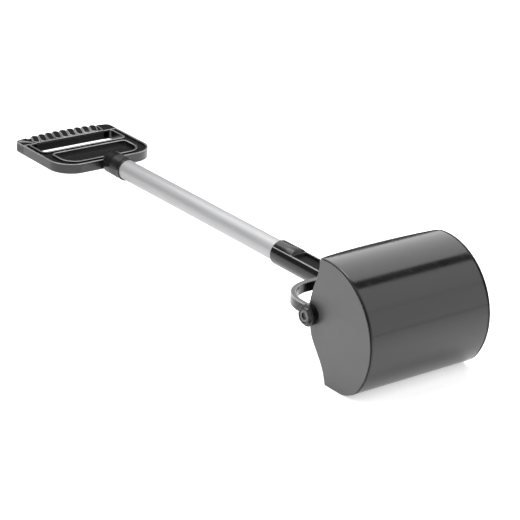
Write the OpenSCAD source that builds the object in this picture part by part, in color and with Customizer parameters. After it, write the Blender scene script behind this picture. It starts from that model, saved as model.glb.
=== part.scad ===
// Pivoting drum scoop on a long D-grip handle, for lifting sand, shingle and finds.
// A drum-shaped plastic scoop hangs in a U-shaped yoke. A friction hinge at each end of the
// yoke lets it be set at any tilt. The yoke's socket takes an aluminium tube with a D-grip.
//
// Axes: +Y runs along the tube from the grip towards the scoop, +Z is up, +X is to the right.
// Origin: the middle of the drum's flat floor. The pieces are drawn about the tube's axis, and
// seat() moves each one so that the floor is at Z = 0.

/* [Scoop] */
// Width of the scoop over its two cheeks
scoop_w = 168.8; // [150:0.2:190]
// Radius of the drum's outer face
drum_r = 77.2; // [74:0.1:80]
// Radius of the lower front corner
heel_r = 36.3; // [30:0.1:42]
// Thickness of the curved wall
wall_t = 2.8; // [2:0.1:4]
// Thickness of each cheek
cheek_t = 3.6; // [3:0.1:5]
// How far the curved wall sits in from the cheeks' edges
wall_inset = 0; // [0:0.1:1]
// How far the upper lip bows out in the middle
lip_bow = 8.5; // [4:0.5:9]

/* [Hinge] */
// Distance of the pivot behind the origin
pivot_back = 24.5; // [23:0.5:26]
// Height of the pivot over the tube's axis
pivot_up = 5.1; // [4:0.1:6]
// Radius of the pivot bolt's shank
bolt_r = 3.0; // [2.5:0.1:3.5]
// Radius of the friction bush
bush_r = 11.5; // [10.5:0.1:12]
// Radius of the pivot bolt's head
head_r = 6.6; // [6:0.1:7]
// Running clearance round the bolt in its sleeve
run_gap = 0.05; // [0.02:0.01:0.08]

/* [Yoke] */
// Thickness of the yoke's strap
strap_t = 6.5; // [5:0.1:7]
// Height of the yoke's strap
strap_h = 12; // [10:0.5:13]
// Outer radius of the yoke's bends
bend_r = 42; // [38:1:44]
// Radius of the socket that takes the tube
socket_r = 15; // [14.6:0.1:16.5]
// Length of the socket behind the cross strap
socket_len = 106; // [96:1:116]

/* [Handle] */
// Outer radius of the aluminium tube
tube_r = 12.5; // [12:0.1:12.6]
// Wall thickness of the tube
tube_t = 1.2; // [1:0.1:2]
// Distance from the origin to the mouth of the grip's collar
collar_y = 495; // [460:5:520]
// Outer radius of the grip's collar
collar_r = 14; // [13.8:0.1:15]

/* [Grip] */
// Width of the D-grip
grip_w = 142; // [136:1:148]
// Length of the D, from its base to the corners of the hand bar
grip_len = 112; // [108:1:116]
// Thickness of the D-grip
grip_t = 13; // [12:0.5:15]
// How far the grip's middle plane lies under the tube's axis
grip_drop = 2.7; // [1:0.1:3]
// How far the hand bar bows out
bar_bow = 7; // [5:0.5:8]

/* [Hidden] */
$fn = 128;
e = 0.02;
half_w = scoop_w / 2;
drum_y = -6.1;
drum_z = -6;
floor_z = -66.5;
heel_z = floor_z + heel_r;
heel_y = drum_y + sqrt(pow(drum_r - heel_r, 2) - pow(heel_z - drum_z, 2));
heel_a = atan2(heel_z - drum_z, heel_y - drum_y);
lower_lip_y = 3.1;
upper_lip_y = -20;
origin_y = 15;
py = -pivot_back;
pz = pivot_up;

cheek_in = half_w - cheek_t;
bush_in = half_w + 0.2;
bush_out = bush_in + 5.6;
eye_in = bush_out;
eye_r = 12;
arm_out = eye_in + 2;
eye_face = arm_out + 0.4;
eye_out = eye_face + 3.2;
arm_in = arm_out - strap_t;
boss_in = cheek_in - 1.4;
washer_x = boss_in - 0.2 - 1.4;
spring_x = washer_x - 1.2;
nut_x = spring_x - 6;

strap_z = pz + eye_r - strap_h - 0.6;
cross_y = -80;
socket_end = cross_y - socket_len;
socket_step = cross_y - 75;
flat_z = 9.8;
neck_rim = 2;
neck_sink = 3.5;
socket_screw_y = socket_step - 18;
core_w = 15;
core_len = 54;

tube_front = socket_step - 1;
neck_y = -(collar_y + 33);
tube_back = neck_y - 1;
grip_screw_y = -(collar_y + 20);
screw_sink = 1.2;

base_y = -(collar_y + 37.5);
bar_y = base_y - grip_len;
grip_hw = grip_w / 2;
grip_z = -grip_drop;
rim = 2.4;
groove = 2.6;
hand_y0 = bar_y + 19;
hand_y1 = base_y - 59;
lower_y0 = base_y - 49;
lower_y1 = base_y - 11.5;
finger_n = 9;
finger_pitch = 11;
finger_r = 4.4;
finger_lean = 3.2;
valley = 1.6;
pocket = 4.5;

// ---- shared helpers ----

// Moves a piece from the tube's axis to the origin under the drum.
module seat() {
    translate([0, -origin_y, -floor_z])
        children();
}

// A shape drawn in (Y, Z) becomes a slab from x0 to x1.
module slab_x(x0, x1) {
    translate([x0, 0, 0])
        rotate([90, 0, 90])
            linear_extrude(height = x1 - x0)
                children();
}

// A round bar along X between x0 and x1, on the pivot's axis.
module pivot_bar(x0, x1, r) {
    translate([x0, py, pz])
        rotate([0, 90, 0])
            cylinder(h = x1 - x0, r = r);
}

// A round bar along Y between y0 and y1, on the tube's axis.
module tube_bar(y0, y1, r, r2 = -1) {
    translate([0, y0, 0])
        rotate([-90, 0, 0])
            cylinder(h = y1 - y0, r1 = r, r2 = r2 < 0 ? r : r2);
}

// One side of a pair, mirrored for the left side.
module on_side(s) {
    if (s > 0) children();
    else mirror([1, 0, 0]) children();
}

// Points of a cubic curve from a to d, leaving out its last point.
function curve(a, b, c, d, n) = [
    for (i = [0 : n - 1])
        let (t = i / n, u = 1 - t)
            u * u * u * a + 3 * u * u * t * b + 3 * u * t * t * c + t * t * t * d
];

// ---- scoop ----

// The drum's outline, moved in by d: the big round, the lower front corner and the flat floor.
module drum_outline(d) {
    far = 3 * drum_r;
    intersection() {
        translate([drum_y, drum_z])
            circle(r = drum_r - d);
        polygon([
            [drum_y, drum_z],
            [drum_y + far * cos(heel_a), drum_z + far * sin(heel_a)],
            [drum_y + far, drum_z + far],
            [drum_y - far, drum_z + far],
            [drum_y - far, drum_z]
        ]);
    }
    translate([heel_y + 0.1, heel_z - 0.02])
        circle(r = heel_r - d);
    polygon([
        [drum_y - 55, drum_z + 20],
        [heel_y + 1 - d / 2, drum_z + 20],
        [heel_y + 1 - d / 2, floor_z + d],
        [lower_lip_y - 30, floor_z + d]
    ]);
}

// Everything in front of the cheek's rear edge: concave by the upper lip, a full lobe round
// the pivot, then a long sweep down to the lower lip.
module rear_mask() {
    top = [-19.2, 71.5];
    lobe_top = [-28.8, 24];
    lobe_low = [-26.2, -12];
    foot = [lower_lip_y, floor_z - 1];
    polygon(concat(
        curve(top, [-14.5, 57], [-25.5, 41], lobe_top, 8),
        curve(lobe_top, [-31.6, 13], [-30.5, -1], lobe_low, 6),
        curve(lobe_low, [-22.5, -31], [-3.5, -38], foot, 9),
        [foot, [120, floor_z - 1], [120, 90], [top[0] - 4, 90]]
    ));
}

module cheek_shape() {
    intersection() {
        drum_outline(0);
        rear_mask();
    }
}

module cheek(s) {
    on_side(s) color([0.2, 0.2, 0.21]) seat() {
        difference() {
            union() {
                slab_x(cheek_in, half_w) cheek_shape();
                intersection() {
                    pivot_bar(boss_in, cheek_in + e, 13);
                    slab_x(boss_in - 1, half_w) cheek_shape();
                }
            }
            pivot_bar(boss_in - 1, half_w + 1, bolt_r + 2);
        }
    }
}

module right_cheek() {
    cheek(1);
}

module left_cheek() {
    cheek(-1);
}

// The stretch of a wall_t thick ring from angle a0 to a1, less than half a turn.
module ring_part(cy, cz, r, a0, a1) {
    far = 3 * r;
    am = (a0 + a1) / 2;
    translate([cy, cz])
        intersection() {
            difference() {
                circle(r = r);
                circle(r = r - wall_t);
            }
            polygon([
                [0, 0], [far * cos(a0), far * sin(a0)],
                [far * cos(am), far * sin(am)], [far * cos(a1), far * sin(a1)]
            ]);
        }
}

// The curved wall between the cheeks, from the bowed upper lip round to the straight lower lip.
module scoop_wall() {
    bow_r = (half_w * half_w + lip_bow * lip_bow) / (2 * lip_bow);
    lip_mid = upper_lip_y - lip_bow;
    color([0.15, 0.15, 0.16]) seat()
    intersection() {
        slab_x(-cheek_in, cheek_in) {
            ring_part(drum_y, drum_z, drum_r - wall_inset, heel_a, 112);
            ring_part(heel_y, heel_z, heel_r - wall_inset, -90, heel_a);
            translate([lower_lip_y, floor_z + wall_inset])
                square([heel_y - lower_lip_y, wall_t]);
        }
        translate([0, lip_mid + bow_r, -100])
            cylinder(h = 200, r = bow_r, $fn = 256);
    }
}

// ---- friction hinge ----

// Sleeve pressed into the cheek; it turns on the bolt's shank.
module pivot_sleeve(s) {
    on_side(s) color([0.75, 0.72, 0.6]) seat()
        difference() {
            pivot_bar(boss_in, half_w, bolt_r + 2);
            pivot_bar(boss_in - 1, half_w + 1, bolt_r + run_gap);
        }
}

module right_pivot_sleeve() {
    pivot_sleeve(1);
}

module left_pivot_sleeve() {
    pivot_sleeve(-1);
}

// Ribbed friction bush between the cheek and the yoke's eye.
module friction_bush(s) {
    on_side(s) color([0.05, 0.05, 0.05]) seat()
        difference() {
            pivot_bar(bush_in, bush_out, bush_r);
            pivot_bar(bush_in - 1, bush_out + 1, bolt_r + 0.1);
            for (x = [bush_in + 1.3, bush_in + 3.2])
                difference() {
                    pivot_bar(x, x + 0.7, bush_r + 1);
                    pivot_bar(x - 1, x + 2, bush_r - 0.7);
                }
        }
}

module right_friction_bush() {
    friction_bush(1);
}

module left_friction_bush() {
    friction_bush(-1);
}

// Socket-head pivot bolt; its head sits in the eye's counterbore.
module pivot_bolt(s) {
    head_in = eye_out - 3.2;
    on_side(s) color([0.3, 0.3, 0.31]) seat()
        difference() {
            union() {
                pivot_bar(nut_x - 1.5, head_in + e, bolt_r);
                pivot_bar(head_in, eye_out - 0.4, head_r);
            }
            translate([eye_out - 2.6, py, pz])
                rotate([0, 90, 0])
                    cylinder(h = 4, r = 4.2, $fn = 6);
        }
}

module right_pivot_bolt() {
    pivot_bolt(1);
}

module left_pivot_bolt() {
    pivot_bolt(-1);
}

module thrust_washer(s) {
    on_side(s) color([0.7, 0.7, 0.72]) seat()
        difference() {
            pivot_bar(washer_x, washer_x + 1.4, 9);
            pivot_bar(washer_x - 1, washer_x + 3, bolt_r + 0.1);
        }
}

module right_thrust_washer() {
    thrust_washer(1);
}

module left_thrust_washer() {
    thrust_washer(-1);
}

// Dished spring washer that keeps the hinge's friction up as it wears.
module spring_washer(s) {
    on_side(s) color([0.6, 0.6, 0.62]) seat()
        difference() {
            translate([spring_x, py, pz])
                rotate([0, 90, 0])
                    cylinder(h = 1.2, r1 = 5.4, r2 = 7);
            pivot_bar(spring_x - 1, spring_x + 3, bolt_r + 0.1);
        }
}

module right_spring_washer() {
    spring_washer(1);
}

module left_spring_washer() {
    spring_washer(-1);
}

// Hexagonal lock nut with a rounded collar at its end.
module lock_nut(s) {
    on_side(s) color([0.62, 0.62, 0.64]) seat()
        difference() {
            union() {
                translate([nut_x + 1.6, py, pz])
                    rotate([0, 90, 0])
                        cylinder(h = 4.4, r = 10 / sqrt(3), $fn = 6);
                pivot_bar(nut_x, nut_x + 1.7, 4.6);
            }
            pivot_bar(nut_x - 1, spring_x + 1, bolt_r);
        }
}

module right_lock_nut() {
    lock_nut(1);
}

module left_lock_nut() {
    lock_nut(-1);
}

// ---- yoke ----

// Plan of one bent half of the strap, from the middle of the cross strap to the eye.
module strap_plan() {
    bx = arm_out - bend_r;
    by = cross_y + bend_r;
    translate([0, cross_y])
        square([bx, strap_t]);
    translate([arm_out - strap_t, by])
        square([strap_t, py - by]);
    intersection() {
        difference() {
            translate([bx, by])
                circle(r = bend_r);
            translate([bx, by])
                circle(r = bend_r - strap_t);
        }
        translate([bx, by - 2 * bend_r])
            square(2 * bend_r);
    }
}

// Web that blends the strap into the socket on one side.
module web_plan() {
    r = 16;
    difference() {
        translate([0, cross_y - r])
            square([socket_r + r - 1, r + 1]);
        translate([socket_r + r - 1, cross_y - r + 0.8])
            circle(r = r);
    }
}

module yoke_half() {
    translate([0, 0, strap_z])
        linear_extrude(height = strap_h)
            strap_plan();
    translate([0, 0, -7])
        linear_extrude(height = flat_z + 7)
            web_plan();
    pivot_bar(eye_in, eye_face, eye_r);
    translate([eye_face - e, py, pz])
        rotate([0, 90, 0])
            cylinder(h = eye_out - eye_face + e, r1 = 10, r2 = 9);
}

// The sunk channel in the neck's flat top, inside its two side rims.
module neck_pocket() {
    half = sqrt(socket_r * socket_r - flat_z * flat_z) - neck_rim;
    translate([-half, socket_step + 3, flat_z - neck_sink])
        cube([2 * half, cross_y - socket_step - 6, neck_sink + 5]);
}

module yoke() {
    color([0.22, 0.22, 0.23]) seat()
    difference() {
        union() {
            yoke_half();
            mirror([1, 0, 0]) yoke_half();
            difference() {
                tube_bar(socket_end, cross_y + strap_t - 0.5, socket_r);
                translate([-20, socket_step, flat_z])
                    cube([40, 90, 20]);
            }
            tube_bar(socket_end - 1.4, socket_end, socket_r - 1.2, socket_r);
        }
        tube_bar(socket_end - 5, tube_front, tube_r + 0.05);
        for (s = [1, -1])
            on_side(s) {
                pivot_bar(eye_in - 10, eye_out + 1, bolt_r + 0.1);
                pivot_bar(eye_out - 3.2, eye_out + 1, head_r + 0.2);
                pivot_bar(arm_in - 5, eye_in, eye_r + 0.4);
            }
        translate([-core_w / 2, socket_step + 8, -socket_r - 1])
            cube([core_w, core_len, socket_r + 5]);
        neck_pocket();
        translate([0, socket_screw_y, -socket_r - 1])
            cylinder(h = 6, r = 2);
        translate([0, socket_screw_y, -socket_r - 1])
            cylinder(h = 1 + screw_sink, r = 4.2);
    }
}

// ---- handle ----

module handle_tube() {
    color([0.78, 0.78, 0.8]) seat()
    difference() {
        tube_bar(tube_back, tube_front, tube_r);
        tube_bar(tube_back - 1, tube_front + 1, tube_r - tube_t);
        for (y = [socket_screw_y, grip_screw_y])
            translate([0, y, -tube_r - 1])
                cylinder(h = tube_t + 2, r = 2);
    }
}

// Short self-tapping screw that pins the tube, put in from below.
module tube_screw(y, r_seat) {
    color([0.55, 0.55, 0.57]) seat()
    difference() {
        union() {
            translate([0, y, -r_seat])
                cylinder(h = r_seat - tube_r + tube_t + 4, r = 2);
            translate([0, y, -r_seat - 2])
                cylinder(h = 2, r1 = 2.6, r2 = 4);
        }
        for (a = [0, 90])
            translate([0, y, -r_seat - 1.6])
                rotate(a)
                    cube([3.4, 0.8, 1.2], center = true);
    }
}

module socket_screw() {
    tube_screw(socket_screw_y, socket_r - screw_sink);
}

module grip_screw() {
    tube_screw(grip_screw_y, collar_r + 0.3);
}

// ---- D-grip ----

// The D's plan, moved in by d. The hand bar is at the far end and bows out.
module d_plan(d) {
    k = 30;
    c = 8;
    bow_r = (grip_hw * grip_hw + bar_bow * bar_bow) / (2 * bar_bow);
    intersection() {
        union() {
            translate([-grip_hw + d, bar_y + c - 1])
                square([2 * (grip_hw - d), grip_len - k - c + 1]);
            translate([-grip_hw + c, bar_y - 12])
                square([2 * (grip_hw - c), 30]);
            translate([-grip_hw + k, base_y - k - 1])
                square([2 * (grip_hw - k), k + 1 - d]);
            for (x = [-1, 1]) {
                translate([x * (grip_hw - k), base_y - k])
                    circle(r = k - d);
                translate([x * (grip_hw - c), bar_y + c - 1])
                    circle(r = c - d);
            }
        }
        translate([0, bar_y - bar_bow + bow_r])
            circle(r = bow_r - d, $fn = 256);
    }
}

// The hand hole, moved out by d.
module hand_hole(d) {
    y0 = hand_y0;
    y1 = hand_y1;
    hw = grip_hw - 10;
    r = 6 + d;
    for (x = [-1, 1])
        for (y = [y0 + 6, y1 - 6])
            translate([x * (hw - 6), y])
                circle(r = r);
    translate([-hw - d, y0 + 6])
        square([2 * (hw + d), y1 - y0 - 12]);
    translate([-hw + 6, y0 - d])
        square([2 * (hw - 6), y1 - y0 + 2 * d]);
}

// The D-shaped lower pocket, moved out by d.
module lower_pocket(d) {
    y0 = lower_y0;
    y1 = lower_y1;
    hw = grip_hw - 17;
    k = 18;
    for (x = [-1, 1]) {
        translate([x * (hw - k), y1 - k])
            circle(r = k + d);
        translate([x * (hw - 5), y0 + 5])
            circle(r = 5 + d);
    }
    translate([-hw - d, y0 + 5])
        square([2 * (hw + d), y1 - k - y0 - 5]);
    translate([-hw + 5, y0 - d])
        square([2 * (hw - 5), y1 - k - y0 + d]);
    translate([-hw + k, y0 + 1])
        square([2 * (hw - k), y1 - y0 - 1 + d]);
}

// The sunk web between the rims, leaving the hand bar full.
module groove_plan() {
    difference() {
        d_plan(rim);
        hand_hole(rim);
        lower_pocket(rim);
        translate([-grip_hw, bar_y - 20])
            square([2 * grip_hw, hand_y0 - bar_y + 20]);
        translate([-collar_r - 1, base_y - 16])
            square([2 * collar_r + 2, 20]);
    }
}

// Round-ended finger lobes that lean across the hand bar, standing out of its far edge.
module finger_plan() {
    for (i = [0 : finger_n - 1]) {
        x = (i - (finger_n - 1) / 2) * finger_pitch;
        sag = bar_bow * (1 - pow(x / grip_hw, 2));
        y_out = bar_y - sag + finger_r - 2.5;
        y_in = hand_y0 - 1.4 - finger_r;
        run = sqrt(pow(2 * finger_lean, 2) + pow(y_in - y_out, 2));
        translate([x - finger_lean, y_out])
            rotate(-atan2(2 * finger_lean, y_in - y_out)) {
                circle(r = finger_r);
                translate([0, run])
                    circle(r = finger_r);
                translate([-finger_r, 0])
                    square([2 * finger_r, run]);
            }
    }
}

// The lowered strips of the hand bar between its finger lobes.
module valley_plan() {
    half = (finger_n + 0.6) / 2 * finger_pitch;
    difference() {
        translate([-half, bar_y - 20])
            square([2 * half, hand_y0 - 1.2 - bar_y + 20]);
        finger_plan();
    }
}

module d_grip() {
    color([0.1, 0.1, 0.1]) seat()
    difference() {
        union() {
            translate([0, 0, grip_z - grip_t / 2])
                linear_extrude(height = grip_t)
                    difference() {
                        union() {
                            d_plan(0);
                            finger_plan();
                        }
                        hand_hole(0);
                    }
            tube_bar(neck_y, -collar_y - 4, collar_r + 0.4, collar_r);
            tube_bar(base_y - 6, neck_y, 8, collar_r + 0.4);
        }
        for (s = [1, -1])
            translate([0, 0, grip_z + s * (grip_t / 2 - groove / 2 + 0.5) - groove / 2 - 0.5])
                linear_extrude(height = groove + 1)
                    groove_plan();
        for (s = [1, -1])
            translate([0, 0, grip_z + s * (grip_t / 2 - pocket / 2 + 0.5) - pocket / 2 - 0.5])
                linear_extrude(height = pocket + 1)
                    lower_pocket(0);
        for (s = [1, -1])
            translate([0, 0, grip_z + s * (grip_t / 2 - valley / 2 + 0.5) - valley / 2 - 0.5])
                linear_extrude(height = valley + 1)
                    valley_plan();
        tube_bar(tube_back, -collar_y, tube_r + 0.05);
        for (y = [7, 10, 13])
            difference() {
                tube_bar(-collar_y - y - 0.8, -collar_y - y, collar_r + 3);
                tube_bar(-collar_y - y - 2, -collar_y - y + 2, collar_r - 0.3);
            }
        translate([0, grip_screw_y, -collar_r - 3])
            cylinder(h = 6, r = 2);
    }
}

// Lip ring at the mouth of the collar.
module collar_ring() {
    color([0.04, 0.04, 0.04]) seat()
    difference() {
        tube_bar(-collar_y - 4, -collar_y, collar_r + 0.4);
        tube_bar(-collar_y - 5, -collar_y + 1, tube_r + 0.05);
    }
}

scoop_wall();
right_cheek();
left_cheek();
right_pivot_sleeve();
left_pivot_sleeve();
yoke();
right_friction_bush();
left_friction_bush();
right_pivot_bolt();
left_pivot_bolt();
right_thrust_washer();
left_thrust_washer();
right_spring_washer();
left_spring_washer();
right_lock_nut();
left_lock_nut();
handle_tube();
socket_screw();
d_grip();
collar_ring();
grip_screw();
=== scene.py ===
import math

import bmesh
import bpy
from mathutils import Matrix, Vector

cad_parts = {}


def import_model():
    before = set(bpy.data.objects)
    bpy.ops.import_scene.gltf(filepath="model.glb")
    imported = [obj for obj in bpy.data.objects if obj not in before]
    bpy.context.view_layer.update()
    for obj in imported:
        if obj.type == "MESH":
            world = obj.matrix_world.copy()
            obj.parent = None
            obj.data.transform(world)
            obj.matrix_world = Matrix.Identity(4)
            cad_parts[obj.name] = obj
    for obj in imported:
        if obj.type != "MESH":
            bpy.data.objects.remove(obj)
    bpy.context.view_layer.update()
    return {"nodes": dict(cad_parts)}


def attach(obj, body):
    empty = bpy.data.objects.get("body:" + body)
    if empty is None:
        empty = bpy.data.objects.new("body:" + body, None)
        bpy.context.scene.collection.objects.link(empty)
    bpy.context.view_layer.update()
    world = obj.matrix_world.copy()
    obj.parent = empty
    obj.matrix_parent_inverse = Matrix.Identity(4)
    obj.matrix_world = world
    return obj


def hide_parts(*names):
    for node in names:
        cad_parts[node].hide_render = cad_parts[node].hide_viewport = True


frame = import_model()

# Pivoting drum scoop on a D-grip handle. Sizes are in millimetres about the tube's axis, as the
# CAD draws them; at() turns such a point into metres in the shared frame.

MM = 0.001
ORIGIN_Y = 15
FLOOR_Z = -66.5

# Scoop
HALF_W = 84.4
CHEEK_T = 3.6
WALL_T = 2.8
DRUM_R = 77.2
DRUM_Y = -6.1
DRUM_Z = -6.0
HEEL_R = 36.3
HEEL_Z = FLOOR_Z + HEEL_R
HEEL_Y = DRUM_Y + math.sqrt((DRUM_R - HEEL_R) ** 2 - (HEEL_Z - DRUM_Z) ** 2)
HEEL_A = math.atan2(HEEL_Z - DRUM_Z, HEEL_Y - DRUM_Y)
LOWER_LIP_Y = 3.1
UPPER_LIP_Y = -20.0
LIP_BOW = 8.5

# Hinge
PIVOT_Y = -24.5
PIVOT_Z = 5.1
BUSH_R = 11.5
BUSH_IN = HALF_W + 0.2
BUSH_OUT = BUSH_IN + 5.6
EYE_R = 12.0
HEAD_R = 6.6

# Yoke
STRAP_T = 6.5
STRAP_H = 12.0
STRAP_Z = PIVOT_Z + EYE_R - STRAP_H - 0.6
BEND_R = 42.0
CROSS_Y = -80.0
ARM_OUT = BUSH_OUT + 2.0
EYE_FACE = ARM_OUT + 0.4
EYE_OUT = EYE_FACE + 3.2
SOCKET_R = 15.0
SOCKET_END = CROSS_Y - 106.0
SOCKET_STEP = CROSS_Y - 75.0
FLAT_Z = 9.8
NECK_RIM = 2.0
NECK_SINK = 3.5

# Handle
TUBE_R = 12.5
TUBE_T = 1.2
COLLAR_Y = -495.0
COLLAR_R = 14.0
NECK_Y = COLLAR_Y - 33.0

# Grip
GRIP_HW = 71.0
BASE_Y = COLLAR_Y - 37.5
BAR_Y = BASE_Y - 112.0
BAR_BOW = 7.0
GRIP_Z = -2.7
GRIP_HT = 6.5
RIM = 2.4
GROOVE = 2.6
HAND_Y0 = BAR_Y + 19.0
POCKET = 4.5
HAND_Y1 = BASE_Y - 59.0
LOWER_Y0 = BASE_Y - 49.0
LOWER_Y1 = BASE_Y - 11.5
FINGERS = 9
FINGER_PITCH = 11.0
# The second material slot paints a highlight along a black moulding's rounded edges.
EDGE_HIGHLIGHT_SLOT = 1  # a black moulding's second material, for its edges
# The third material slot paints shade on recessed faces, with a duller plastic.
RECESS_SHADE_SLOT = 2  # and its third, for its dull faces


def at(x, y, z):
    return Vector((x, y - ORIGIN_Y, z - FLOOR_Z)) * MM


# ---- materials ----


def add(tree, kind, **values):
    """A new node, with its properties and input values set by name."""
    node = tree.nodes.new("ShaderNode" + kind)
    for key, value in values.items():
        if hasattr(node, key):
            setattr(node, key, value)
        else:
            node.inputs[key.replace("_", " ")].default_value = value
    return node


def noise(tree, coords, scale, detail=4.0, stretch=(1, 1, 1)):
    mapping = add(tree, "Mapping")
    mapping.inputs["Scale"].default_value = stretch
    tree.links.new(coords, mapping.inputs["Vector"])
    texture = add(tree, "TexNoise")
    texture.inputs["Scale"].default_value = scale
    texture.inputs["Detail"].default_value = detail
    tree.links.new(mapping.outputs["Vector"], texture.inputs["Vector"])
    return texture.outputs["Fac"]


def spread(tree, source, low, high, start=0.3, end=0.7):
    """Maps a noise onto low..high."""
    node = add(tree, "MapRange")
    for key, value in (("From Min", start), ("From Max", end), ("To Min", low), ("To Max", high)):
        node.inputs[key].default_value = value
    tree.links.new(source, node.inputs["Value"])
    return node.outputs["Result"]


def tinted(tree, factor, dark, light):
    ramp = add(tree, "ValToRGB")
    ramp.color_ramp.elements[0].color = (*dark, 1)
    ramp.color_ramp.elements[1].color = (*light, 1)
    tree.links.new(factor, ramp.inputs["Fac"])
    return ramp.outputs["Color"]


def moulded(name, grey, rough, grain, bump, metallic=0.0, stretch=(1, 1, 1), vary=0.10, specular=0.5,
            scuff=0.06):
    """A moulded or machined surface: mottled tone, fine grain, and faint scuffs that dull it."""
    material = bpy.data.materials.new(name)
    material.use_nodes = True
    tree = material.node_tree
    shader = tree.nodes["Principled BSDF"]
    coords = add(tree, "TexCoord").outputs["Object"]
    mottle = noise(tree, coords, 38.0, 6.0, stretch)
    scuffs = noise(tree, coords, 160.0, 8.0, (1.0, 0.12, 1.0))
    fine = noise(tree, coords, grain, 3.0, stretch)
    dark = [g * (1 - vary) for g in grey]
    light = [g * (1 + vary) for g in grey]
    tree.links.new(tinted(tree, spread(tree, mottle, 0, 1), dark, light), shader.inputs["Base Color"])
    blend = add(tree, "Math", operation="ADD")
    tree.links.new(spread(tree, mottle, rough - 0.02, rough + 0.02), blend.inputs[0])
    tree.links.new(spread(tree, scuffs, 0.0, scuff, 0.55, 0.75), blend.inputs[1])
    tree.links.new(blend.outputs["Value"], shader.inputs["Roughness"])
    relief = add(tree, "Bump")
    relief.inputs["Strength"].default_value = bump
    relief.inputs["Distance"].default_value = 0.0001
    tree.links.new(fine, relief.inputs["Height"])
    tree.links.new(relief.outputs["Normal"], shader.inputs["Normal"])
    shader.inputs["Metallic"].default_value = metallic
    shader.inputs["Specular IOR Level"].default_value = specular
    return material


def scoop_plastic():
    return moulded("scoop_plastic", (0.0055, 0.0055, 0.0056), 0.14, 2600.0, 0.10, vary=0.10)


def cheek_plastic():
    return moulded("cheek_plastic", (0.058, 0.058, 0.0585), 0.42, 2200.0, 0.22, vary=0.05)


def yoke_plastic():
    return moulded("yoke_plastic", (0.006, 0.006, 0.006), 0.17, 2400.0, 0.12, vary=0.12, specular=0.32)


def grip_plastic():
    return moulded("grip_plastic", (0.0032, 0.0032, 0.0033), 0.24, 1800.0, 0.22, vary=0.15)


def painted_edge_highlight():
    """Painted highlight: thin lighter lines along the black mouldings' rounded edges, in place of the
    glints there.
    """
    return moulded("painted_edge_highlight", (0.20, 0.20, 0.203), 0.30, 900.0, 0.3, vary=0.45)


def painted_recess_shade():
    """Painted shade: duller plastic at the bottom of the neck's channel and on the hand bar's palm side."""
    return moulded("painted_recess_shade", (0.004, 0.004, 0.004), 0.65, 700.0, 0.35, vary=0.2, specular=0.08)


def bush_rubber():
    return moulded("bush_rubber", (0.0025, 0.0025, 0.0025), 0.45, 3000.0, 0.35, vary=0.2, specular=0.12)


def nylon():
    return moulded("sleeve_nylon", (0.66, 0.63, 0.54), 0.45, 1500.0, 0.15, vary=0.05)


def black_steel():
    return moulded("black_steel", (0.10, 0.10, 0.102), 0.30, 3200.0, 0.2, metallic=0.9, vary=0.2)


def zinc_steel():
    return moulded("zinc_steel", (0.62, 0.62, 0.64), 0.30, 2600.0, 0.2, metallic=1.0, vary=0.08)


def tube_aluminium():
    """Satin anodised tube: grain drawn out along its length, with faint handling marks."""
    return moulded("tube_aluminium", (0.30, 0.30, 0.305), 0.46, 1500.0, 0.30, metallic=0.45,
                   stretch=(1.0, 0.03, 1.0), vary=0.05, scuff=0.12)


def floor_paper():
    """Pale translucent paper, lit a little from below."""
    material = moulded("floor_paper", (0.90, 0.90, 0.90), 0.75, 900.0, 0.05, vary=0.01)
    shader = material.node_tree.nodes["Principled BSDF"]
    shader.inputs["Emission Color"].default_value = (1, 1, 1, 1)
    shader.inputs["Emission Strength"].default_value = 0.5
    return material


# ---- mesh helpers ----


def piece(name, bm, material, body, nodes, bevel=0.0, segments=3, angle=35.0):
    """Turns a bmesh into a finished piece that rides on a body and stands for CAD nodes."""
    bmesh.ops.remove_doubles(bm, verts=bm.verts, dist=1e-6)
    bmesh.ops.recalc_face_normals(bm, faces=bm.faces)
    mesh = bpy.data.meshes.new(name)
    bm.to_mesh(mesh)
    bm.free()
    obj = bpy.data.objects.new(name, mesh)
    bpy.context.scene.collection.objects.link(obj)
    mesh.materials.append(material)
    mesh.shade_smooth()
    if bevel:
        edge = obj.modifiers.new("rounding", "BEVEL")
        edge.width = bevel * MM
        edge.segments = segments
        edge.limit_method = "ANGLE"
        edge.angle_limit = math.radians(angle)
        edge.use_clamp_overlap = True
    normals = obj.modifiers.new("normals", "WEIGHTED_NORMAL")
    normals.keep_sharp = True
    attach(obj, body)
    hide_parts(*nodes)
    return obj


def loft(bm, rings, closed=True, cap=True):
    """Joins rings of equally many points with quads. Rings are lists of vectors in metres."""
    made = [[bm.verts.new(p) for p in ring] for ring in rings]
    n = len(made[0])
    last = n if closed else n - 1
    for a, b in zip(made, made[1:]):
        for i in range(last):
            j = (i + 1) % n
            bm.faces.new((a[i], a[j], b[j], b[i]))
    if cap:
        bm.faces.new(made[0][::-1])
        bm.faces.new(made[-1])
    return made


def lathe(bm, profile, place, n=96):
    """Turns a closed profile of (along, radius) pairs; place(along, radius, angle) is a point."""
    rings = []
    for k in range(n):
        angle = 2 * math.pi * k / n
        rings.append([bm.verts.new(place(along, radius, angle)) for along, radius in profile])
    for k in range(n):
        a, b = rings[k], rings[(k + 1) % n]
        for i in range(len(profile)):
            j = (i + 1) % len(profile)
            bm.faces.new((a[i], a[j], b[j], b[i]))


def about_tube(along, radius, angle):
    return at(radius * math.cos(angle), along, radius * math.sin(angle))


def about_pivot(side):
    def place(along, radius, angle):
        return at(side * along, PIVOT_Y + radius * math.cos(angle), PIVOT_Z + radius * math.sin(angle))
    return place


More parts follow.
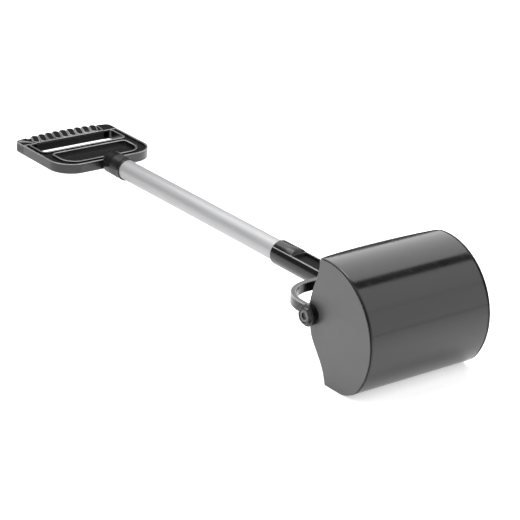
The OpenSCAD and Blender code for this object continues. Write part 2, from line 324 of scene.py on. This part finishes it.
def rounded(profile, radius, steps=4, closed=True):
    """A profile with its corners rounded, each by at most the given radius."""
    out = []
    n = len(profile)
    for i, corner in enumerate(profile):
        r = radius[i] if isinstance(radius, (list, tuple)) else radius
        p = Vector(corner)
        before = Vector(profile[(i - 1) % n]) - p
        after = Vector(profile[(i + 1) % n]) - p
        if r <= 0 or (not closed and i in (0, n - 1)):
            out.append(tuple(p))
            continue
        half = before.angle(after) / 2
        if half > math.radians(88):
            out.append(tuple(p))
            continue
        reach = min(r / math.tan(half), before.length * 0.49, after.length * 0.49)
        a = p + before.normalized() * reach
        b = p + after.normalized() * reach
        bisector = (before.normalized() + after.normalized()).normalized()
        centre = p + bisector * (reach / math.cos(half))
        fillet = (a - centre).length
        va, vb = (a - centre).normalized(), (b - centre).normalized()
        for k in range(steps + 1):
            out.append(tuple(centre + va.slerp(vb, k / steps) * fillet))
    return out


def inset_loop(points, d):
    """A closed counter-clockwise loop moved in by d, mitred at its corners."""
    out = []
    n = len(points)
    for i, point in enumerate(points):
        p = Vector(point)
        a = (p - Vector(points[i - 1])).normalized()
        b = (Vector(points[(i + 1) % n]) - p).normalized()
        na, nb = Vector((-a.y, a.x)), Vector((-b.y, b.x))
        mitre = (na + nb).normalized()
        out.append(tuple(p + mitre * (d / max(mitre.dot(na), 0.5))))
    return out


def ccw(points):
    area = sum(a[0] * b[1] - b[0] * a[1] for a, b in zip(points, points[1:] + points[:1]))
    return points if area > 0 else points[::-1]


def slab(bm, loop, holes, low, high, place, round_low=0.6, round_high=0.6, steps=4, edge=0):
    """A plate from low to high with rounded edges; place(u, v, w) is a point, w across the plate.
    The loop is its outline, the holes are loops cut right through it, and edge is the material
    index of the rounded edges."""
    profile = []
    for k in range(steps + 1):
        t = math.pi / 2 * k / steps
        profile.append((round_low * (1 - math.sin(t)), low + round_low * (1 - math.cos(t))))
    for k in range(steps + 1):
        t = math.pi / 2 * k / steps
        profile.append((round_high * (1 - math.cos(t)), high - round_high * (1 - math.sin(t))))
    ends = ([], [])
    for points, sign in [(ccw(loop), 1)] + [(ccw(h), -1) for h in holes]:
        rings = [[place(u, v, w) for u, v in inset_loop(points, sign * d)] for d, w in profile]
        known = len(bm.faces)
        made = loft(bm, rings, cap=False)
        bm.faces.ensure_lookup_table()
        for k in range(known, len(bm.faces)):
            if (k - known) // len(made[0]) != steps:
                bm.faces[k].material_index = edge
        for end, ring in ((0, made[0]), (1, made[-1])):
            for i, vert in enumerate(ring):
                ends[end].append(bm.edges.get((vert, ring[(i + 1) % len(ring)])))
    for edges in ends:
        bmesh.ops.triangle_fill(bm, edges=edges, use_beauty=True, use_dissolve=False)


def cubic(a, b, c, d, n):
    out = []
    for i in range(n):
        t = i / n
        u = 1 - t
        weights = (u * u * u, 3 * u * u * t, 3 * u * t * t, t * t * t)
        out.append(tuple(sum(w * p[k] for w, p in zip(weights, (a, b, c, d))) for k in (0, 1)))
    return out


def arc(cy, cz, r, a0, a1, n):
    return [(cy + r * math.cos(a0 + (a1 - a0) * i / n), cz + r * math.sin(a0 + (a1 - a0) * i / n))
            for i in range(n + 1)]


# ---- scoop ----


def lip_y(x):
    """Where the bowed upper lip is cut, at x across the scoop."""
    bow_r = (HALF_W ** 2 + LIP_BOW ** 2) / (2 * LIP_BOW)
    return UPPER_LIP_Y - LIP_BOW + bow_r - math.sqrt(bow_r ** 2 - x * x)


def wall_section(x, inner):
    """The wall's skin at x, from the lower lip under the heel and over the drum to the upper lip."""
    t = WALL_T if inner else 0.0
    end = math.acos((lip_y(x) - DRUM_Y) / (DRUM_R - t))
    floor = [(LOWER_LIP_Y + (HEEL_Y - LOWER_LIP_Y) * i / 8, FLOOR_Z + t) for i in range(8)]
    heel = arc(HEEL_Y, HEEL_Z, HEEL_R - t, -math.pi / 2, HEEL_A, 28)[:-1]
    drum = arc(DRUM_Y, DRUM_Z, DRUM_R - t, HEEL_A, end, 96)
    return floor + heel + drum


def scoop_wall(material):
    bm = bmesh.new()
    half = HALF_W - CHEEK_T
    columns = 48
    rings = []
    for i in range(columns + 1):
        x = -half + 2 * half * i / columns
        outline = wall_section(x, False) + wall_section(x, True)[::-1]
        rings.append([at(x, y, z) for y, z in outline])
    loft(bm, rings, cap=False)
    n = len(wall_section(0, False))
    bm.verts.ensure_lookup_table()
    ring_n = 2 * n
    for start in (0, columns * ring_n):
        for i in range(n - 1):
            quad = (start + i, start + i + 1, start + ring_n - 2 - i, start + ring_n - 1 - i)
            bm.faces.new([bm.verts[k] for k in quad])
    return piece("scoop_wall_skin", bm, material, "scoop", ["scoop_wall"], 0.7, 3, 50)


def cheek_outline():
    """The cheek's edge in (Y, Z): over the drum, round the heel, and back up past the pivot."""
    top, lobe_top, lobe_low = (-19.2, 71.5), (-28.8, 24.0), (-26.2, -12.0)
    foot = (LOWER_LIP_Y, FLOOR_Z)
    rear = cubic(top, (-14.5, 57.0), (-25.5, 41.0), lobe_top, 16)[1:]
    rear += cubic(lobe_top, (-31.6, 13.0), (-30.5, -1.0), lobe_low, 14)
    rear += cubic(lobe_low, (-22.5, -31.0), (-3.5, -38.0), foot, 16)
    corner_y = -18.9
    start = math.acos((corner_y - DRUM_Y) / DRUM_R)
    corner_z = DRUM_Z + DRUM_R * math.sin(start)
    rear = [p for p in rear if p[1] < corner_z - 1]
    floor = [(LOWER_LIP_Y + (HEEL_Y - LOWER_LIP_Y) * i / 8, FLOOR_Z) for i in range(8)]
    heel = arc(HEEL_Y, HEEL_Z, HEEL_R, -math.pi / 2, HEEL_A, 28)[:-1]
    drum = arc(DRUM_Y, DRUM_Z, DRUM_R, HEEL_A, start, 96)
    return floor + heel + drum + rear


def cheek(side, material, rim_material):
    bm = bmesh.new()
    hole = arc(PIVOT_Y, PIVOT_Z, 5.0, 0, 2 * math.pi, 40)[:-1]
    inner = HALF_W - CHEEK_T

    def place(u, v, w):
        return at(side * w, u, v)

    outline = ccw(cheek_outline())
    slab(bm, outline, [hole], inner, HALF_W - 2.6, place, round_low=0.1, round_high=0.9, steps=5)
    slab(bm, inset_loop(outline, 2.2), [hole], HALF_W - 2.7, HALF_W - 0.7, place, 0.0, 0.0, steps=1)
    slab(bm, inset_loop(outline, 0.4), [hole], HALF_W - 0.8, HALF_W, place,
         round_low=0.1, round_high=0.5, steps=5)
    rim = HALF_W - 0.85
    for face in bm.faces:
        if abs(face.calc_center_median().x) / MM < rim and abs(face.normal.x) < 0.9:
            face.material_index = 1
    boss = rounded([(inner - 1.4, 5.0), (inner - 1.4, 13.0), (inner + 0.5, 13.0), (inner + 0.5, 5.0)], 0.3)
    lathe(bm, boss, about_pivot(side), 64)
    name = "right" if side > 0 else "left"
    made = piece(name + "_cheek_skin", bm, material, "scoop", [name + "_cheek"])
    made.data.materials.append(rim_material)
    return made


# ---- hinge ----


def friction_bush(side, material):
    """Hard rubber bush with raised ribs round it."""
    bm = bmesh.new()
    ribs = 4
    pitch = (BUSH_OUT - BUSH_IN) / ribs
    profile = [(BUSH_OUT, 3.1), (BUSH_IN, 3.1)]
    for k in range(ribs):
        x = BUSH_IN + k * pitch
        profile += [(x, BUSH_R - 0.9), (x + 0.25 * pitch, BUSH_R), (x + 0.75 * pitch, BUSH_R)]
    profile.append((BUSH_OUT, BUSH_R - 0.9))
    lathe(bm, rounded(profile, 0.15, 2), about_pivot(side), 96)
    name = ("right" if side > 0 else "left") + "_friction_bush"
    return piece(name + "_ribbed", bm, material, "handle", [name])


def from_cad(node, name, material, body, bevel, segments=3, angle=35.0):
    """The CAD node's own shape with its flats joined up and its edges rounded."""
    bm = bmesh.new()
    bm.from_mesh(frame["nodes"][node].data)
    bmesh.ops.remove_doubles(bm, verts=bm.verts, dist=2e-6)
    bmesh.ops.dissolve_limit(bm, angle_limit=math.radians(0.5), verts=bm.verts, edges=bm.edges)
    return piece(name, bm, material, body, [node], bevel, segments, angle)


# ---- yoke ----


def strap_outline():
    """Plan of the whole strap: its outer edge, then its inner edge back."""
    def edge(x_out, r):
        bx, by = ARM_OUT - BEND_R, CROSS_Y + BEND_R
        right = [(x_out, PIVOT_Y)] + arc(bx, by, r, 0, -math.pi / 2, 20)
        return right + [(-x, y) for x, y in right[::-1]]
    outer = edge(ARM_OUT, BEND_R)
    inner = edge(ARM_OUT - STRAP_T, BEND_R - STRAP_T)
    return outer + inner[::-1]


def socket_ring(y, r, cap_z, n=20):
    """One ring of the socket: round below, cut flat at cap_z."""
    edge = math.asin(FLAT_Z / SOCKET_R)
    around = [math.pi - edge + (math.pi + 2 * edge) * i / (3 * n) for i in range(3 * n + 1)]
    ring = [at(r * math.cos(a), y, r * math.sin(a)) for a in around]
    x_edge = r * math.cos(edge)
    top = []
    for i in range(1, n):
        x = x_edge * (1 - 2 * i / n)
        z = min(cap_z, math.sqrt(max(r * r - x * x, 0)))
        top.append(at(x, y, z))
    return ring + top


def sunk_ring(y, n=20):
    """A ring of the neck where its flat top is sunk between two side rims."""
    ring = socket_ring(y, SOCKET_R, FLAT_Z)
    half = math.sqrt(SOCKET_R ** 2 - FLAT_Z ** 2)
    inner = half - NECK_RIM
    low = FLAT_Z - NECK_SINK
    shape = [(half - 0.5, FLAT_Z), (inner + 0.5, FLAT_Z), (inner + 0.1, FLAT_Z - 0.2),
             (inner, FLAT_Z - 0.6), (inner, low + 0.5), (inner - 0.5, low)]
    middle = n - 1 - 2 * len(shape)
    across = [((inner - 1) * (1 - 2 * (k + 1) / (middle + 1)), low) for k in range(middle)]
    top = shape + across + [(-x, z) for x, z in shape[::-1]]
    return ring[:-(n - 1)] + [at(x, y, z) for x, z in top]


def paint_neck(bm):
    """Painted highlight lines along the socket's two edges, and painted shade of duller plastic down in the
    neck's channel.
    """
    inner = math.sqrt(SOCKET_R ** 2 - FLAT_Z ** 2) - NECK_RIM
    channel_low, channel_high = FLAT_Z - NECK_SINK - 0.2, FLAT_Z - 0.1
    for face in bm.faces:
        middle = face.calc_center_median()
        x, y, z = abs(middle.x) * 1000, middle.y * 1000 + ORIGIN_Y, middle.z * 1000 + FLOOR_Z
        lean = math.degrees(math.atan2(z, x))
        on_edge = 36 < lean < 41 and 14.4 < math.hypot(x, z) < 15.1
        in_channel = x < inner + 0.1 and channel_low < z < channel_high
        # A painted highlight strip along each edge of the socket.
        if SOCKET_END + 0.5 < y < CROSS_Y - 1 and on_edge:
            face.material_index = EDGE_HIGHLIGHT_SLOT
        # Painted shade on the channel's floor.
        if SOCKET_STEP + 2.4 < y < CROSS_Y - 2.4 and in_channel:
            face.material_index = RECESS_SHADE_SLOT


def yoke(material, edge_highlight_material, recess_shade_material):
    bm = bmesh.new()
    # The strap's rounded edges take the painted highlight.
    slab(bm, strap_outline(), [], STRAP_Z, STRAP_Z + STRAP_H, at, 1.1, 1.1, 4, EDGE_HIGHLIGHT_SLOT)
    web_r = 16.0
    for side in (1, -1):
        web = [(0, CROSS_Y + 1), (side * (SOCKET_R + web_r - 1), CROSS_Y + 1)]
        web += [(side * (SOCKET_R + web_r - 1 - web_r * math.sin(t)),
                 CROSS_Y + 0.8 - web_r * (1 - math.cos(t)))
                for t in [math.pi / 2 * i / 10 for i in range(11)]]
        web.append((0, CROSS_Y - web_r + 0.8))
        slab(bm, web, [], -7.0, FLAT_Z, at, 0.5, 0.5, 3)
        bore = HEAD_R + 0.2
        eye = [(BUSH_OUT, 3.1), (BUSH_OUT, EYE_R), (EYE_FACE, EYE_R), (EYE_FACE, 10.0), (EYE_OUT, 9.0),
               (EYE_OUT, bore), (EYE_OUT - 3.2, bore), (EYE_OUT - 3.2, 3.1)]
        radii = [0.2, 0.5, 0.5, 0.4, 0.8, 0.5, 0.1, 0]
        lathe(bm, rounded(eye, radii, 4), about_pivot(side), 96)
    mouth = [(SOCKET_END - 1.4, SOCKET_R - 1.2), (SOCKET_END - 0.9, SOCKET_R - 0.5), (SOCKET_END, SOCKET_R)]
    bare = SOCKET_R * 0.99995
    front = CROSS_Y + STRAP_T - 0.5
    rings = [socket_ring(y, r, r * 0.99995) for y, r in mouth]
    rings += [socket_ring(y, SOCKET_R, bare) for y in (SOCKET_STEP - 12, SOCKET_STEP - 0.6)]
    rings.append(socket_ring(SOCKET_STEP + 0.2, SOCKET_R, FLAT_Z + 0.5))
    rings.append(socket_ring(SOCKET_STEP + 0.8, SOCKET_R, FLAT_Z))
    rings.append(socket_ring(SOCKET_STEP + 2.6, SOCKET_R, FLAT_Z))
    rings += [sunk_ring(y) for y in (SOCKET_STEP + 3.2, SOCKET_STEP + 30, CROSS_Y - 3.2)]
    rings += [socket_ring(y, SOCKET_R, FLAT_Z) for y in (CROSS_Y - 2.6, front - 0.8)]
    rings.append(socket_ring(front, SOCKET_R - 0.8, FLAT_Z - 0.6))
    bore = [socket_ring(y, TUBE_R + 0.05, TUBE_R + 0.05) for y in (SOCKET_STEP - 1, SOCKET_END - 1.4)]
    loft(bm, [bore[0]] + [bore[1]] + rings, cap=True)
    paint_neck(bm)
    made = piece("yoke_moulding", bm, material, "handle", ["yoke"])
    # Second material: painted highlight on edges; third: painted shade in the channel.
    made.data.materials.append(edge_highlight_material)
    made.data.materials.append(recess_shade_material)
    return made


# ---- handle ----


def handle_tube(material):
    bm = bmesh.new()
    profile = [(NECK_Y - 1, TUBE_R), (SOCKET_STEP - 1, TUBE_R), (SOCKET_STEP - 1, TUBE_R - TUBE_T),
               (NECK_Y - 1, TUBE_R - TUBE_T)]
    lathe(bm, rounded(profile, 0.3, 2), about_tube, 128)
    return piece("handle_tube_drawn", bm, material, "handle", ["handle_tube"])


def collar_ring(material):
    bm = bmesh.new()
    profile = [(COLLAR_Y - 4, TUBE_R + 0.05), (COLLAR_Y - 4, COLLAR_R + 0.4), (COLLAR_Y, COLLAR_R + 0.4),
               (COLLAR_Y, TUBE_R + 0.05)]
    lathe(bm, rounded(profile, [0, 0.3, 1.1, 0.2], 5), about_tube, 128)
    return piece("collar_ring_rolled", bm, material, "handle", ["collar_ring"])


# ---- grip ----


def rounded_box(x0, y0, x1, y1, near, far):
    """A rectangle with the corners at y1 rounded by near and those at y0 by far."""
    return rounded([(x0, y0), (x1, y0), (x1, y1), (x0, y1)], [far, far, near, near], 12)


def bow_y(x):
    return BAR_Y - BAR_BOW * (1 - (x / GRIP_HW) ** 2)


def d_outline():
    far = [(x, bow_y(x)) for x in range(-60, 61, 6)]
    corners = [(-GRIP_HW, BAR_Y)] + far + [(GRIP_HW, BAR_Y), (GRIP_HW, BASE_Y), (-GRIP_HW, BASE_Y)]
    radii = [8] + [0] * len(far) + [8, 30, 30]
    return rounded(corners, radii, 14)


def rail_outline():
    """The raised outer rim: down one side, round the base and up the other side."""
    near = [p for p in ccw(d_outline()) if p[1] > HAND_Y0 + 1]
    ends = [(-GRIP_HW, HAND_Y0 + 1)], [(GRIP_HW, HAND_Y0 + 1)]
    right = sorted([p for p in near if p[0] > 0], key=lambda p: (p[1], -p[0]))
    left = sorted([p for p in near if p[0] <= 0], key=lambda p: (-p[1], -p[0]))
    outer = ends[1] + right + left + ends[0]
    inner = []
    for i, point in enumerate(outer):
        a = Vector(outer[max(i - 1, 0)])
        b = Vector(outer[min(i + 1, len(outer) - 1)])
        along = (b - a).normalized()
        inner.append(tuple(Vector(point) + Vector((-along.y, along.x)) * RIM))
    return outer + inner[::-1]


def hand_hole():
    return rounded_box(-GRIP_HW + 10, HAND_Y0, GRIP_HW - 10, HAND_Y1, 6, 6)


def lower_pocket():
    return rounded_box(-GRIP_HW + 17, LOWER_Y0, GRIP_HW - 17, LOWER_Y1, 18, 5)


def finger_lobe(x):
    """A leaning, round-ended lobe across the hand bar."""
    r = 5.0
    lean = 3.2
    a = Vector((x - lean, bow_y(x) - 2.5 + r))
    b = Vector((x + lean, HAND_Y0 - 1.0 - r))
    heading = math.atan2(b.y - a.y, b.x - a.x)
    end_b = arc(b.x, b.y, r, heading - math.pi / 2, heading + math.pi / 2, 10)
    end_a = arc(a.x, a.y, r, heading + math.pi / 2, heading + 3 * math.pi / 2, 10)
    return end_b + end_a


def grip(material, edge_highlight_material, recess_shade_material):
    bm = bmesh.new()
    low, high = GRIP_Z - GRIP_HT, GRIP_Z + GRIP_HT
    plan = ccw(d_outline())
    windows = [inset_loop(ccw(hand_hole()), -0.6), inset_loop(ccw(lower_pocket()), -0.6)]
    slab(bm, inset_loop(plan, 0.6), windows, low + GROOVE, high - GROOVE, at, 0.4, 0.4, 3)
    slab(bm, inset_loop(ccw(lower_pocket()), -1.2), [], low + POCKET, high - POCKET, at, 0.2, 0.2, 2)
    # The rims, lobes and end blocks take the painted highlight on their rounded edges.
    slab(bm, rail_outline(), [], low, high, at, 0.8, 0.8, 4, EDGE_HIGHLIGHT_SLOT)
    for hole in (hand_hole(), lower_pocket()):
        slab(bm, inset_loop(ccw(hole), -RIM), [hole], low, high, at, 0.8, 0.8, 4, EDGE_HIGHLIGHT_SLOT)
    bar = [p for p in plan if p[1] < HAND_Y0 - 0.5]
    bar = sorted(bar, key=lambda p: p[0])
    bar = [(-GRIP_HW, HAND_Y0 + 1)] + bar + [(GRIP_HW, HAND_Y0 + 1)]
    slab(bm, bar, [], low + 1.8, high - 1.8, at, 1.2, 1.2, 4)
    for i in range(FINGERS):
        slab(bm, finger_lobe((i - FINGERS // 2) * FINGER_PITCH), [], low, high, at, 1.5, 1.5, 5, EDGE_HIGHLIGHT_SLOT)
    for side in (1, -1):
        ends = [(side * 50.5, HAND_Y0 + 1), (side * GRIP_HW, HAND_Y0 + 1), (side * GRIP_HW, BAR_Y),
                (side * 53.5, bow_y(53.5))]
        slab(bm, rounded(ends, [0.5, 0.5, 7.5, 1.0], 8), [], low, high, at, 0.9, 0.9, 4, EDGE_HIGHLIGHT_SLOT)
    outside = [(BASE_Y - 6, 8.0), (NECK_Y, COLLAR_R + 0.4)]
    for k in range(7):
        y = COLLAR_Y - 19 + 2.1 * k
        outside += [(y, COLLAR_R + 0.1), (y + 0.3, COLLAR_R - 0.6), (y + 0.9, COLLAR_R - 0.6),
                    (y + 1.2, COLLAR_R)]
    outside += [(COLLAR_Y - 4, COLLAR_R), (COLLAR_Y - 4, TUBE_R + 0.05), (NECK_Y - 1, TUBE_R + 0.05),
                (NECK_Y - 1, 0.01), (BASE_Y - 6, 0.01)]
    lathe(bm, rounded(outside, 0.25, 2), about_tube, 128)
    # Painted shade on the hand bar's face inside the hand hole.
    for face in bm.faces:
        face.normal_update()
        middle = face.calc_center_median()
        y, z = middle.y * 1000 + ORIGIN_Y, middle.z * 1000 + FLOOR_Z
        if abs(y - HAND_Y0) < 1.6 and abs(z - GRIP_Z) < GRIP_HT - 1.0 and abs(face.normal.y) > 0.7:
            face.material_index = RECESS_SHADE_SLOT
    made = piece("d_grip_moulding", bm, material, "handle", ["d_grip"])
    # Second material: painted highlight on edges; third: painted shade on the hand bar's inner face.
    made.data.materials.append(edge_highlight_material)
    made.data.materials.append(recess_shade_material)
    return made


# ---- stage ----


def floor(material):
    bm = bmesh.new()
    bmesh.ops.create_grid(bm, x_segments=2, y_segments=2, size=9.0)
    mesh = bpy.data.meshes.new("floor")
    bm.to_mesh(mesh)
    bm.free()
    obj = bpy.data.objects.new("floor", mesh)
    obj.location = (-3.0, -3.0, 0)
    bpy.context.scene.collection.objects.link(obj)
    mesh.materials.append(material)
    return obj


def soft_panel(name, centre, facing, size, radiance):
    """A flat diffuser of the given radiance that faces a point; its width stays along X."""
    data = bpy.data.lights.new(name, "AREA")
    data.shape = "RECTANGLE"
    data.size, data.size_y = size
    data.energy = radiance * math.pi * size[0] * size[1]
    obj = bpy.data.objects.new(name, data)
    bpy.context.scene.collection.objects.link(obj)
    back = (Vector(centre) - Vector(facing)).normalized()
    across = Vector((0, 0, 1)).cross(back) if abs(back.x) > 0.6 else Vector((1, 0, 0))
    across = (across - back * across.dot(back)).normalized()
    turn = Matrix((across, back.cross(across), back)).transposed().to_4x4()
    turn.translation = Vector(centre)
    obj.matrix_world = turn
    obj.visible_camera = False
    return obj


def camera():
    data = bpy.data.cameras.new("camera")
    data.sensor_width = 36.0
    data.lens = 143.9
    data.clip_end = 50.0
    obj = bpy.data.objects.new("camera", data)
    bpy.context.scene.collection.objects.link(obj)
    right = Vector((-0.79263, 0.60735, 0.05357))
    up = Vector((-0.19341, -0.33379, 0.92259))
    back = Vector((0.57822, 0.72091, 0.38204))
    turn = Matrix((right, up, back)).transposed().to_4x4()
    turn.translation = Vector((1.381505, 1.485246, 0.956811))
    obj.matrix_world = turn
    bpy.context.scene.camera = obj


def world():
    sky = bpy.data.worlds.new("studio")
    sky.use_nodes = True
    back = sky.node_tree.nodes["Background"]
    back.inputs["Color"].default_value = (1, 1, 1, 1)
    back.inputs["Strength"].default_value = 0.12
    bpy.context.scene.world = sky
    bpy.context.scene.view_settings.view_transform = "Standard"


def build():
    camera()
    world()
    floor(floor_paper())
    wall_finish, cheek_finish, bush_finish = scoop_plastic(), cheek_plastic(), bush_rubber()
    scoop_wall(wall_finish)
    steel, zinc, sleeve = black_steel(), zinc_steel(), nylon()
    for side, name in ((1, "right"), (-1, "left")):
        cheek(side, cheek_finish, wall_finish)
        friction_bush(side, bush_finish)
        from_cad(name + "_pivot_bolt", name + "_bolt_turned", steel, "handle", 0.25)
        for node, finish in (("_thrust_washer", zinc), ("_spring_washer", zinc), ("_lock_nut", zinc),
                             ("_pivot_sleeve", sleeve)):
            repaint(name + node, finish)
    for node in ("socket_screw", "grip_screw"):
        repaint(node, zinc)
    # A painted highlight for the black mouldings' edges, and painted shade for their recesses.
    edge = painted_edge_highlight()
    dull = painted_recess_shade()
    yoke(yoke_plastic(), edge, dull)
    handle_tube(tube_aluminium())
    black = grip_plastic()
    collar_ring(black)
    grip(black, edge, dull)
    soft_panel("front_wall", (-1.3, 2.1, 0.85), (-1.3, 0.0, 0.85), (3.6, 1.6), 1.7)
    soft_panel("front_top", (-1.2, 1.25, 1.7), (-1.2, 1.25, 0.0), (3.4, 1.75), 1.75)
    soft_panel("back_top", (-0.47, -0.325, 0.535), (-0.47, 0.0, 0.07), (1.1, 0.78), 2.3)
    soft_panel("edge_light", (0.28, -0.30, 1.25), (0.0, -0.62, 0.07), (0.5, 0.5), 6.0)
    soft_panel("right_side", (1.9, -0.5, 0.9), (0.0, 0.0, 0.1), (1.6, 1.4), 2.0)
    soft_panel("ceiling", (1.1, -1.6, 3.0), (1.1, -1.6, 0.0), (3.4, 3.0), 3.4)


def repaint(node, material):
    mesh_slots = frame["nodes"][node].material_slots
    for one in mesh_slots:
        one.material = material


build()
bpy.context.view_layer.update()
